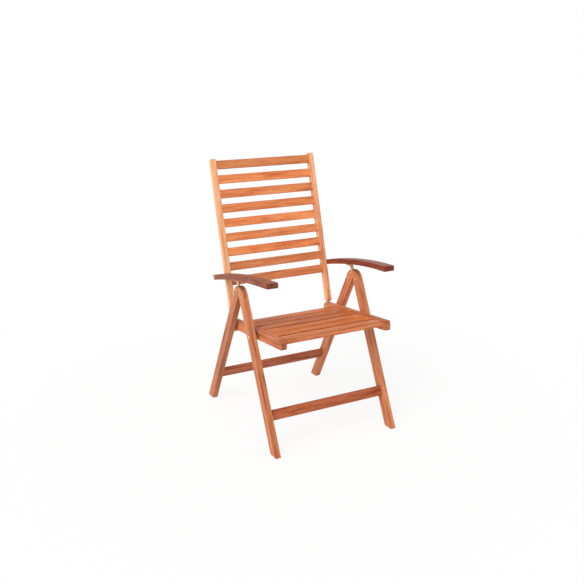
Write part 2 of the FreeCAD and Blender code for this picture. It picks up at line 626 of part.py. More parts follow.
rack = rack_block(0, RACK_L, 0, RACK_T, RACK_W)
arm = arm.cut(rack_block(0, RACK_L, -3.0, RACK_T, RACK_W))
first = TONGUE_S - TONGUE_AIR
for i in range(NOTCH_N):
    s0 = first + i * NOTCH_PITCH
    rack = rack.cut(rack_block(s0, s0 + NOTCH_L, -1, RACK_T + 1, NOTCH_W))
last = first + (NOTCH_N - 1) * NOTCH_PITCH + NOTCH_L
arm = arm.cut(rack_block(first, last, RACK_T - 1, RACK_T + GROOVE_D, NOTCH_W))
SCREW_L = 12.0
HEAD_D = 1.6
rack_screws = []
for s in (TONGUE_S / 2 - 1.0, (last + RACK_L) / 2):
    axis = V(0, RACK_N[0], RACK_N[1])
    base = vec(rack_point(s, 0), RACK_X)
    screw = Part.makeCone(SCREW_HEAD_R, SCREW_R, HEAD_D, base, axis).fuse(
        Part.makeCylinder(SCREW_R, SCREW_L, base, axis)).removeSplitter()
    rack = rack.cut(screw)
    arm = arm.cut(screw)
    rack_screws.append(screw)

# Write every piece

save_pair("front_leg", front_leg)
save("front_stretcher", [front_bar])
save_group("front_stretcher_pins", [front_pin])
save_group("seat_pivot_bolts", [pivot_bolt])
save_group("seat_pivot_spacers", [spacer])
save_group("seat_pivot_nuts", [pivot_nut])
save_group("apex_pivot_rivets", [rivet(APEX_PIVOT, LEG_IN, LEG_OUT)])
save_pair("rear_leg", rear_leg)
save("rear_stretcher", [rear_bar])
save_group("rear_stretcher_pins", [rear_pin])
save_pair("apex_plate", plate)
save_group("apex_plate_rivets", [rivet(p, LEG_IN, LEG_OUT) for p in PLATE_RIVETS])
save_group("seat_support_pins", [support])
save_pair("seat_rail", rail)
save("seat_front_slat", [slats[0]])
for i in range(1, SLAT_N):
    save("seat_slat_%d" % i, [slats[i]])
save_group("seat_slat_bolts", [slat_bolt])
save_group("lower_hinge_rivets", [rivet(LOWER_HINGE, RAIL_IN, RAIL_OUT)])
save_pair("hinge_link", link)
save_pair("back_stile", stile)
for i in range(BACK_N):
    save("back_slat_%d" % (i + 1), [back_slats[i]])
save_group("upper_hinge_rivets", [rivet(UPPER, RAIL_IN, RAIL_OUT)])
save_group("armrest_bolts", [arm_bolt])
save_group("armrest_washers", [washer])
save_group("armrest_nuts", [arm_nut])
save_pair("armrest", arm)
save_pair("rack_plate", rack)
save_pair("rack_screws", Part.makeCompound(rack_screws))
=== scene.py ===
"""Folding high-back garden armchair: its finishes, turned fasteners, floor, studio light and camera.

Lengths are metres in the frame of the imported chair: +Z up, the chair faces -Y, +X is the sitter's left.
Finishes and fasteners give their own sizes in millimetres.
"""
import logging
import math
from dataclasses import dataclass
from enum import Enum
from typing import Any

import bpy
import numpy as np
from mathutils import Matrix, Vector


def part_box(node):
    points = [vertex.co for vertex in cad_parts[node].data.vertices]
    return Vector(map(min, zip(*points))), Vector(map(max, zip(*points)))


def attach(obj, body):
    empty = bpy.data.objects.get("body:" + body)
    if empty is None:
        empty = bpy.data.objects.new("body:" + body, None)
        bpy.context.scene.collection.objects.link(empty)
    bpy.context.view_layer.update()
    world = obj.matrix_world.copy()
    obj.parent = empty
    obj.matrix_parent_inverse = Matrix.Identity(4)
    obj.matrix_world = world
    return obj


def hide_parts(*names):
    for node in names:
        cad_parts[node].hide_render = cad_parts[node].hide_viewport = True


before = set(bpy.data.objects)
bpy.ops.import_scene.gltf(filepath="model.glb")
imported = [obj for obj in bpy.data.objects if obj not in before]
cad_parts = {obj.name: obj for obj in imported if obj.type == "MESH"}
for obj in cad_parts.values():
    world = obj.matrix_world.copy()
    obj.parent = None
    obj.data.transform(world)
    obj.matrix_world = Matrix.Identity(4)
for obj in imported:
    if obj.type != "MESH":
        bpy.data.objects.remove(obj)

LOG = logging.getLogger("armchair")
MM = 0.001
WHITE = (1.0, 1.0, 1.0, 1.0)
MIDDLE = 0.5                             # mean of a noise pattern
MIX_FROM, MIX_TO, MIX_COLOUR = 6, 7, 2   # a mix node's two colour inputs and its colour output

Pair = tuple[float, float]
Triple = tuple[float, float, float]
Colour = tuple[float, float, float, float]
Tree = bpy.types.NodeTree
Socket = bpy.types.NodeSocket


def linear(colour: str, share: Triple = (1.0, 1.0, 1.0), level: float = 1.0) -> Colour:
    """Turn an sRGB hex colour into linear RGBA.

    Args:
        colour: six hex digits after a hash sign.
        share: what it keeps of its red, green and blue.
        level: how light it is made as a whole.
    Returns:
        Linear red, green, blue and an alpha of 1.
    """
    parts = [int(colour[i:i + 2], 16) / 255 for i in (1, 3, 5)]
    low = [c / 12.92 if c <= 0.04045 else ((c + 0.055) / 1.055) ** 2.4 for c in parts]
    red, green, blue = (min(1.0, level * keep * c) for keep, c in zip(share, low))
    return red, green, blue, 1.0


def add(tree: Tree, kind: str, sockets: dict[Any, Any] | None = None,
        stops: tuple[tuple[float, Colour], ...] = (), **settings: Any) -> bpy.types.Node:
    """Add a node, set its options, and fill or link its inputs.

    Args:
        tree: the material's or world's node tree.
        kind: the node's type name.
        sockets: input name or number to a constant, or to the output socket linked to it.
        stops: places and colours along a colour ramp.
        settings: the node's own options.
    Returns:
        The new node.
    """
    node = tree.nodes.new(kind)
    for key, value in settings.items():
        setattr(node, key, value)
    for key, value in (sockets or {}).items():
        if isinstance(value, Socket):
            tree.links.new(value, node.inputs[key])
        else:
            node.inputs[key].default_value = value
    for i, (place, colour) in enumerate(stops):
        marks = node.color_ramp.elements
        mark = marks[i] if i < len(marks) else marks.new(place)
        mark.position, mark.color = place, colour
    return node


def blank_material(name: str) -> bpy.types.Material:
    """New material with an empty node tree."""
    made = bpy.data.materials.new(name)
    made.use_nodes = True
    made.node_tree.nodes.clear()
    return made


class Run(Enum):
    """Which way a board's grain runs once its section is turned square."""
    UP = "up"          # along the turned Z axis: legs, rails, stiles, armrests
    ACROSS = "across"  # along X: slats and stretchers

    def stretch(self, factor: float) -> Triple:
        """Scale of a pattern that is drawn out along the grain by that factor."""
        return (1.0, 1.0, 1 / factor) if self is Run.UP else (1 / factor, 1.0, 1.0)

    def axis(self) -> Triple:
        """Direction of the grain in the turned frame."""
        return (0.0, 0.0, 1.0) if self is Run.UP else (1.0, 0.0, 0.0)


class Tone(Enum):
    """How light a board is against its batch."""
    PALE = 1.15
    PLAIN = 1.0
    DEEP = 0.84


def tone_of(number: int, pale: tuple[int, ...], deep: tuple[int, ...]) -> Tone:
    """Tone of a numbered board, from the numbers of the pale and the deep ones."""
    return Tone.PALE if number in pale else Tone.DEEP if number in deep else Tone.PLAIN


@dataclass(frozen=True)
class Board:
    """How one piece was sawn: its turn about X, its grain, its own place in the log, and its tone."""
    turn: float
    run: Run
    seed: int
    tone: Tone = Tone.PLAIN
    log_reach: float = 9.0   # metres of pattern each way that boards are taken from

    def place(self) -> Triple:
        """Offset into the pattern, so that no two boards show the same figure."""
        spot = np.random.default_rng(self.seed).uniform(-self.log_reach, self.log_reach, 3)
        return float(spot[0]), float(spot[1]), float(spot[2])


@dataclass(frozen=True)
class Layer:
    """One layer of the figure: noise that is drawn out along the grain."""
    size_mm: float
    drawn_out: float   # length along the grain against width across it
    detail: float
    bend: float
    roughness: float = 0.55

    def pattern(self, tree: Tree, place: Socket, run: Run) -> Socket:
        """Noise from 0 to 1 over the board's own coordinates.

        Args:
            tree: the material's node tree.
            place: coordinates turned square to the board.
            run: which way its grain runs.
        Returns:
            The noise value.
        """
        drawn = add(tree, "ShaderNodeMapping", {"Vector": place, "Scale": run.stretch(self.drawn_out)})
        sockets = {"Vector": drawn.outputs[0], "Scale": 1 / (self.size_mm * MM), "Detail": self.detail,
                   "Roughness": self.roughness, "Distortion": self.bend}
        return add(tree, "ShaderNodeTexNoise", sockets).outputs["Fac"]


@dataclass(frozen=True)
class OiledHardwood:
    """Plantation hardwood, planed, sanded and dipped in tinted oil.

    It gives straight grain in orange and red-brown bands, fine open pores drawn out along the grain,
    a satin sheen, darker end grain that drank more oil, and arrises darkened as painted shade. Bands, fibres
    and pores are drawn coarser than the real ones, which are near 5, 1 and 0.3 mm, so that they show.
    """
    name: str
    body: str
    pale_share: Triple = (1.25, 1.47, 1.75)      # light bands against the body colour
    deep_share: Triple = (0.63, 0.42, 0.31)      # dark bands
    pore_share: Triple = (0.30, 0.17, 0.13)      # pores, and what end grain and the painted shade on arrises go towards
    drift: Layer = Layer(60.0, 7.0, 2.0, 0.4)    # slow change of tone across the board
    bands: Layer = Layer(13.0, 15.0, 3.0, 0.9)
    fibres: Layer = Layer(3.2, 20.0, 2.0, 0.2)
    pores: Layer = Layer(1.4, 13.0, 1.0, 0.0)
    weights: Triple = (0.5, 0.3, 0.2)            # of bands, drift and fibres in the tone
    ramp_half: float = 0.13                      # tone between the body and its palest and darkest bands
    pore_crests: Pair = (0.60, 0.72)             # noise at which a pore begins, and at which it is full
    pore_depth: float = 0.55
    pore_relief: float = -0.9                    # pores against fibres in the relief
    relief_mm: float = 0.5
    relief_strength: float = 0.35
    fibre_range: Pair = (0.3, 0.7)               # noise from the glossiest fibre to the dullest
    roughness: float = 0.46
    gloss_range: Pair = (-0.07, 0.09)            # roughness of those fibres against the mean
    ior: float = 1.45
    specular: float = 0.35
    contrast: float = 1.05                       # depth of the figure
    end_facing: Pair = (0.6, 0.9)                # how squarely a face meets the grain to count as end grain
    end_share: float = 0.6                       # how far end grain goes towards the pore colour
    arris_facing: Pair = (0.97, 0.80)            # how far a face turns from square to count as an arris
    arris_shade_share: float = 0.5                     # how far the painted shade on arrises goes towards the pore colour

    def material(self, piece: str, board: Board) -> bpy.types.Material:
        """Build the finish for one board.

        Args:
            piece: name of the piece that wears it.
            board: how that piece was sawn.
        Returns:
            The node material.
        """
        made = blank_material(f"{self.name}_{piece}")
        tree = made.node_tree
        turn = (math.radians(board.turn), 0.0, 0.0)
        coord = add(tree, "ShaderNodeTexCoord")
        sockets = {"Vector": coord.outputs["Object"], "Rotation": turn, "Location": board.place()}
        place = add(tree, "ShaderNodeMapping", sockets).outputs[0]
        layers = (self.bands, self.drift, self.fibres, self.pores)
        bands, drift, fibres, crests = (layer.pattern(tree, place, board.run) for layer in layers)
        sockets = {"Value": crests, "From Min": self.pore_crests[0], "From Max": self.pore_crests[1],
                   "To Max": self.pore_depth}
        pores = add(tree, "ShaderNodeMapRange", sockets).outputs[0]
        sockets = {"Vector": coord.outputs["Normal"], "Rotation": turn}
        facing = add(tree, "ShaderNodeMapping", sockets, vector_type="VECTOR").outputs[0]
        wood = self.figured(tree, (bands, drift, fibres), pores, board.tone)
        colour = self.soak_and_shade(tree, wood, facing, drift, board)
        sockets = {0: pores, 1: self.pore_relief, 2: fibres}
        relief = add(tree, "ShaderNodeMath", sockets, operation="MULTIPLY_ADD").outputs[0]
        sockets = {"Height": relief, "Strength": self.relief_strength, "Distance": self.relief_mm * MM}
        bump = add(tree, "ShaderNodeBump", sockets).outputs[0]
        sockets = {"Value": fibres, "From Min": self.fibre_range[0], "From Max": self.fibre_range[1],
                   "To Min": self.roughness + self.gloss_range[0],
                   "To Max": self.roughness + self.gloss_range[1]}
        sheen = add(tree, "ShaderNodeMapRange", sockets).outputs[0]
        sockets = {"Base Color": colour, "Roughness": sheen, "IOR": self.ior,
                   "Specular IOR Level": self.specular, "Normal": bump}
        shade = add(tree, "ShaderNodeBsdfPrincipled", sockets)
        add(tree, "ShaderNodeOutputMaterial", {"Surface": shade.outputs[0]})
        return made

    def pore_colour(self, tone: Tone) -> Colour:
        """Colour of pores, of timber that is full of oil, and of the painted shade on arrises."""
        return linear(self.body, self.pore_share, tone.value)

    def figured(self, tree: Tree, figure: tuple[Socket, Socket, Socket], pores: Socket, tone: Tone) -> Socket:
        """Colour of long grain: bands, drift and fibres about the body colour, with pores over them.

        Args:
            tree: the material's node tree.
            figure: noise of the bands, the drift and the fibres.
            pores: share of pore colour.
            tone: how light the board is.
        Returns:
            The colour.
        """
        level: Any = MIDDLE - MIDDLE * self.contrast
        for noise, weight in zip(figure, self.weights):
            sockets = {0: noise, 1: weight * self.contrast, 2: level}
            level = add(tree, "ShaderNodeMath", sockets, operation="MULTIPLY_ADD").outputs[0]
        deep, body, pale = (linear(self.body, share, tone.value)
                            for share in (self.deep_share, (1.0, 1.0, 1.0), self.pale_share))
        stops = ((MIDDLE - self.ramp_half, deep), (MIDDLE, body), (MIDDLE + self.ramp_half, pale))
        grain = add(tree, "ShaderNodeValToRGB", {"Fac": level}, stops).outputs[0]
        sockets = {0: pores, MIX_FROM: grain, MIX_TO: self.pore_colour(tone)}
        return add(tree, "ShaderNodeMix", sockets, data_type="RGBA").outputs[MIX_COLOUR]

    def soak_and_shade(self, tree: Tree, wood: Socket, facing: Socket, drift: Socket, board: Board) -> Socket:
        """Colour with end grain darkened, and arrises darkened as painted shade, found by the way the surface
        faces.

        Args:
            tree: the material's node tree.
            wood: colour of the long grain.
            facing: the surface's direction in the board's frame.
            drift: slow noise that makes the painted arris shade uneven.
            board: how the piece was sawn.
        Returns:
            The colour.
        """
        dark = self.pore_colour(board.tone)
        sockets = {0: facing, 1: board.run.axis()}
        along = add(tree, "ShaderNodeVectorMath", sockets, operation="DOT_PRODUCT").outputs["Value"]
        end = add(tree, "ShaderNodeMath", {0: along}, operation="ABSOLUTE").outputs[0]
        sockets = {"Value": end, "From Min": self.end_facing[0], "From Max": self.end_facing[1],
                   "To Max": self.end_share}
        end_grain = add(tree, "ShaderNodeMapRange", sockets).outputs[0]
        sockets = {0: end_grain, MIX_FROM: wood, MIX_TO: dark}
        ended = add(tree, "ShaderNodeMix", sockets, data_type="RGBA").outputs[MIX_COLOUR]
        sides = add(tree, "ShaderNodeVectorMath", {0: facing}, operation="ABSOLUTE").outputs[0]
        x, y, z = add(tree, "ShaderNodeSeparateXYZ", {0: sides}).outputs
        most = add(tree, "ShaderNodeMath", {0: x, 1: y}, operation="MAXIMUM").outputs[0]
        square = add(tree, "ShaderNodeMath", {0: most, 1: z}, operation="MAXIMUM").outputs[0]
        # painted shade: arrises go towards the pore colour, darkest where the face turns most from square
        sockets = {"Value": square, "From Min": self.arris_facing[0], "From Max": self.arris_facing[1],
                   "To Max": 2 * self.arris_shade_share}
        arris = add(tree, "ShaderNodeMapRange", sockets).outputs[0]
        uneven = add(tree, "ShaderNodeMath", {0: arris, 1: drift}, operation="MULTIPLY").outputs[0]
        sockets = {0: uneven, MIX_FROM: ended, MIX_TO: dark}
        return add(tree, "ShaderNodeMix", sockets, data_type="RGBA").outputs[MIX_COLOUR]


@dataclass(frozen=True)
class PassivatedSteel:
    """Mild steel, zinc plated and passivated after stamping or turning.

    It gives a pale straw metal with faint drifts towards gold and grey, and a fine satin tooth. The
    other plated steels differ only in their three colours and their gloss.
    """
    name: str
    straw: str = "#E0C48E"
    gold: str = "#C79F5E"
    grey: str = "#B3A184"
    cloud_mm: float = 7.0
    cloud_detail: float = 3.0
    cloud_roughness: float = 0.6
    cloud_half: float = 0.18                 # noise between the straw and its grey and gold clouds
    tooth_mm: float = 0.6                    # stamping and turning marks, drawn coarser than life to show
    tooth_detail: float = 2.0
    tooth_range: Pair = (0.3, 0.7)           # noise from the glossiest mark to the dullest
    roughness: float = 0.34
    gloss_range: Pair = (-0.06, 0.1)         # roughness of those marks against the mean
    relief_mm: float = 0.1
    relief_strength: float = 0.15

    def material(self) -> bpy.types.Material:
        """Build the finish once for all the pieces that wear it."""
        made = blank_material(self.name)
        tree = made.node_tree
        place = add(tree, "ShaderNodeTexCoord").outputs["Object"]
        sockets = {"Vector": place, "Scale": 1 / (self.cloud_mm * MM), "Detail": self.cloud_detail,
                   "Roughness": self.cloud_roughness}
        cloud = add(tree, "ShaderNodeTexNoise", sockets).outputs["Fac"]
        sockets = {"Vector": place, "Scale": 1 / (self.tooth_mm * MM), "Detail": self.tooth_detail}
        tooth = add(tree, "ShaderNodeTexNoise", sockets).outputs["Fac"]
        stops = ((MIDDLE - self.cloud_half, linear(self.grey)), (MIDDLE, linear(self.straw)),
                 (MIDDLE + self.cloud_half, linear(self.gold)))
        colour = add(tree, "ShaderNodeValToRGB", {"Fac": cloud}, stops).outputs[0]
        sockets = {"Value": tooth, "From Min": self.tooth_range[0], "From Max": self.tooth_range[1],
                   "To Min": self.roughness + self.gloss_range[0],
                   "To Max": self.roughness + self.gloss_range[1]}
        rough = add(tree, "ShaderNodeMapRange", sockets).outputs[0]
        sockets = {"Height": tooth, "Strength": self.relief_strength, "Distance": self.relief_mm * MM}
        bump = add(tree, "ShaderNodeBump", sockets).outputs[0]
        sockets = {"Base Color": colour, "Metallic": 1.0, "Roughness": rough, "Normal": bump}
        shade = add(tree, "ShaderNodeBsdfPrincipled", sockets)
        add(tree, "ShaderNodeOutputMaterial", {"Surface": shade.outputs[0]})
        return made


# The legs and seat are mid orange-brown and the stretchers redder. The back is more orange, with pale stiles.
# The armrests come from denser, browner boards, and the left one is the redder of the two. Most of the steel
# is yellow; the racks are near black and the slat bolts dull brown, as painted shade: the racks for the
# shadow under the armrests, the slat bolts for the shadow beside the legs.
FRAME_WOOD = OiledHardwood("oiled_hardwood_frame", "#C87A4E")
FRONT_BAR_WOOD = OiledHardwood("oiled_hardwood_front_bar", "#AA5632", contrast=1.4)
REAR_BAR_WOOD = OiledHardwood("oiled_hardwood_rear_bar", "#B5633F", contrast=1.4)
SEAT_WOOD = OiledHardwood("oiled_hardwood_seat", "#C8774A", contrast=1.15, end_share=0.2)
# The arris share is painted shade along the arrises: faint on the seat slats, strong on the back slats.
SEAT_SLAT_WOOD = OiledHardwood("oiled_hardwood_seat_slats", "#D47433", contrast=1.15, arris_shade_share=0.1)
SLAT_WOOD = OiledHardwood("oiled_hardwood_slats", "#E38751", contrast=0.85, arris_shade_share=0.8)
STILE_WOOD = OiledHardwood("oiled_hardwood_stiles", "#F5AC79", end_share=0.9)
LEFT_ARM_WOOD = OiledHardwood("oiled_hardwood_left_arm", "#88391B", roughness=0.42, contrast=1.25,
                              end_share=0.45)
RIGHT_ARM_WOOD = OiledHardwood("oiled_hardwood_right_arm", "#904B31", roughness=0.42, contrast=1.25,
                               end_share=0.45)
STEEL = PassivatedSteel("yellow_passivated_steel")
# Dull brown: painted shade for the slat bolts, which sit in the shadow beside the legs.
SHADED_BOLT_STEEL = PassivatedSteel("bolt_steel_painted_shade", straw="#9C6C49", gold="#8B5F3F", grey="#80624C",
                                  roughness=0.6)
# Near black: painted shade standing for the shadow on the racks under the armrests.
SHADED_RACK_STEEL = PassivatedSteel("rack_steel_painted_shade", straw="#4A423B", gold="#574A3D", grey="#3A3531",
                             roughness=0.42)


def dress(node: str, finish: bpy.types.Material) -> None:
    """Give a carried-over piece one finish in all its slots.

    Args:
        node: the piece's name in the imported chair.
        finish: the material it wears.
    """
    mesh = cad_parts[node].data
    if not mesh.materials:
        mesh.materials.append(finish)
    for i in range(len(mesh.materials)):
        mesh.materials[i] = finish
    LOG.info("dressed %s in %s", node, finish.name)


@dataclass
class Legs:
    """Front and rear leg frames with their stretchers."""
    front_lean: float = 25.9            # degrees from upright, as the rear one
    rear_lean: float = 28.45
    wood: OiledHardwood = FRAME_WOOD
    front_bar: OiledHardwood = FRONT_BAR_WOOD
    rear_bar: OiledHardwood = REAR_BAR_WOOD
    pale_legs: tuple[int, ...] = (2,)   # counted front left, front right, rear left, rear right from 0
    deep_legs: tuple[int, ...] = (3,)
    leg_seed: int = 10                  # the first leg's place in the log; the others follow
    bar_seed: int = 20

    def dress(self) -> None:
        """Saw each leg and stretcher from its own board."""
        ends = (("front", self.front_lean, self.front_bar), ("rear", -self.rear_lean, self.rear_bar))
        for row, (end, turn, bar) in enumerate(ends):
            for k, side in enumerate(("left", "right")):
                name = f"{end}_leg_{side}"
                number = 2 * row + k
                tone = tone_of(number, self.pale_legs, self.deep_legs)
                dress(name, self.wood.material(name, Board(turn, Run.UP, self.leg_seed + number, tone)))
            name = f"{end}_stretcher"
            dress(name, bar.material(name, Board(turn, Run.ACROSS, self.bar_seed + row)))


@dataclass
class Seat:
    """Seat rails and slats."""
    slope: float = 6.6                   # degrees from level
    slats: int = 5
    wood: OiledHardwood = SEAT_WOOD
    slat_wood: OiledHardwood = SEAT_SLAT_WOOD
    pale_slats: tuple[int, ...] = (0,)   # counted from the front slat, which is 0
    deep_slats: tuple[int, ...] = (3, 4)
    rail_seed: int = 30
    slat_seed: int = 40

    def dress(self) -> None:
        """Rails run fore and aft, slats across; the front slat is of the rails' timber."""
        for k, side in enumerate(("left", "right")):
            name = f"seat_rail_{side}"
            dress(name, self.wood.material(name, Board(self.slope - 90, Run.UP, self.rail_seed + k)))
        across = [("seat_front_slat", self.wood)]
        across += [(f"seat_slat_{i + 1}", self.slat_wood) for i in range(self.slats)]
        for k, (name, wood) in enumerate(across):
            tone = tone_of(k, self.pale_slats, self.deep_slats)
            dress(name, wood.material(name, Board(self.slope, Run.ACROSS, self.slat_seed + k, tone)))


@dataclass
class Back:
    """Back stiles and slats."""
    lean: float = 16.1                        # degrees from upright
    slats: int = 9
    stile_wood: OiledHardwood = STILE_WOOD
    slat_wood: OiledHardwood = SLAT_WOOD
    pale_slats: tuple[int, ...] = (2, 5, 7)   # counted from the top, which is 1
    deep_slats: tuple[int, ...] = (1, 8, 9)
    stile_seed: int = 60
    slat_seed: int = 70

    def dress(self) -> None:
        """Pale stiles, warmer slats."""
        for k, side in enumerate(("left", "right")):
            name = f"back_stile_{side}"
            dress(name, self.stile_wood.material(name, Board(self.lean, Run.UP, self.stile_seed + k)))
        for k in range(self.slats):
            name = f"back_slat_{k + 1}"
            tone = tone_of(k + 1, self.pale_slats, self.deep_slats)
            board = Board(self.lean, Run.ACROSS, self.slat_seed + k, tone)
            dress(name, self.slat_wood.material(name, board))


@dataclass
class Armrests:
    """The two curved armrests."""
    rise: float = 10.0   # mean slope in degrees
    left_wood: OiledHardwood = LEFT_ARM_WOOD
    right_wood: OiledHardwood = RIGHT_ARM_WOOD
    seed: int = 90

    def dress(self) -> None:
        """The grain follows the armrest's mean slope."""
        for k, (side, wood) in enumerate((("left", self.left_wood), ("right", self.right_wood))):
            name = f"armrest_{side}"
            dress(name, wood.material(name, Board(self.rise - 90, Run.UP, self.seed + k)))


def lathe(name: str, profile: list[Triple], axes: list[Pair], ring: bool = False,
          sides: int = 48, crease: float = 32.0) -> bpy.types.Object:
    """Turn a profile about lines along X, on both sides of the chair.

    At the angle a round an axis through (y, z), a profile row (x, r, h) gives the point
    (x, y + q cos a, z + q sin a). q is r where h is 0, and r cos 30 / cos((a mod 60) - 30),
    a hexagon with corners at r, where h is 1.

    Args:
        name: name of the piece.
        profile: rows of x, radius in millimetres and hexagon share, from the highest x down; a solid piece
            starts and ends on the axis.
        axes: y and z of each axis in metres.
        ring: whether the profile closes on itself round a bore.
        sides: points round the axis.
        crease: angle between faces, in degrees, from which an edge is sharp.
    Returns:
        The new piece, at the origin.
    """
    rows = np.array(profile if ring else profile[1:-1])
    turn = np.arange(sides) * 2 * np.pi / sides
    six = np.cos(np.pi / 6) / np.cos(np.mod(turn, np.pi / 3) - np.pi / 6)
    reach = rows[:, 1:2] * MM * (1 - rows[:, 2:] + rows[:, 2:] * six)
    level = np.repeat(rows[:, :1] * MM, sides, 1)
    flat = np.stack([level, reach * np.cos(turn), reach * np.sin(turn)], 2).reshape(-1, 3)
    count = len(rows)
    upper = np.arange(count if ring else count - 1)[:, None] * sides
    lower = (upper + sides) % (count * sides)
    here = np.arange(sides)
    after = (here + 1) % sides
    quads = np.stack([upper + here, lower + here, lower + after, upper + after], 2).reshape(-1, 4)
    fans = np.empty((0, 3), int)
    if not ring:
        poles = np.array([[profile[0][0] * MM, 0.0, 0.0], [profile[-1][0] * MM, 0.0, 0.0]])
        first = np.full(sides, len(flat))
        base = (count - 1) * sides
        fans = np.concatenate([np.stack([first, here, after], 1),
                               np.stack([first + 1, base + after, base + here], 1)])
        flat = np.concatenate([flat, poles])
    points, faces = [], []
    for y, z in axes:
        for side in (1.0, -1.0):
            offset = len(points) * len(flat)
            points.append(flat * (side, 1.0, 1.0) + (0.0, y, z))
            order = slice(None, None, int(side))
            faces += (quads[:, order] + offset).tolist() + (fans[:, order] + offset).tolist()
    mesh = bpy.data.meshes.new(name)
    mesh.from_pydata(np.concatenate(points).tolist(), [], faces)
    mesh.polygons.foreach_set("use_smooth", np.ones(len(mesh.polygons), bool))
    mesh.set_sharp_from_angle(angle=math.radians(crease))
    piece = bpy.data.objects.new(name, mesh)
    bpy.context.scene.collection.objects.link(piece)
    return piece


def crown(high: float, inner: float, low: float, outer: float, steps: int = 6) -> list[Pair]:
    """Quarter ellipse from the height high at the radius inner down to the height low at the radius outer."""
    turns = [math.pi / 2 * i / steps for i in range(steps + 1)]
    return [(low + (high - low) * math.cos(a), inner + (outer - inner) * math.sin(a)) for a in turns]


def axis_of(node: str) -> Pair:
    """Y and Z of the line along X through the middle of a node's box."""
    low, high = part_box(node)
    return (low[1] + high[1]) / 2, (low[2] + high[2]) / 2


def span_mm(node: str) -> Pair:
    """Least and greatest X of a node, in millimetres."""
    low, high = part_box(node)
    return low[0] / MM, high[0] / MM


@dataclass(frozen=True)
class Head:
    """Radius and height of a bolt's head or of a nut, in millimetres."""
    radius: float
    height: float


@dataclass(frozen=True)
class Turned:
    """One group of like fasteners that replaces a node."""
    node: str
    body: str
    profile: list[Triple]
    ring: bool = False
    axes: tuple[Pair, ...] = ()   # where they aren't one axis in the middle of the node

    def build(self, finish: bpy.types.Material) -> None:
        """Turn the group, both sides of the chair in one piece."""
        axes = list(self.axes) or [axis_of(self.node)]
        piece = lathe(f"turned_{self.node}", self.profile, axes, self.ring)
        piece.data.materials.append(finish)
        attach(piece, self.body)
        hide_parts(self.node)
        LOG.info("turned %s", piece.name)


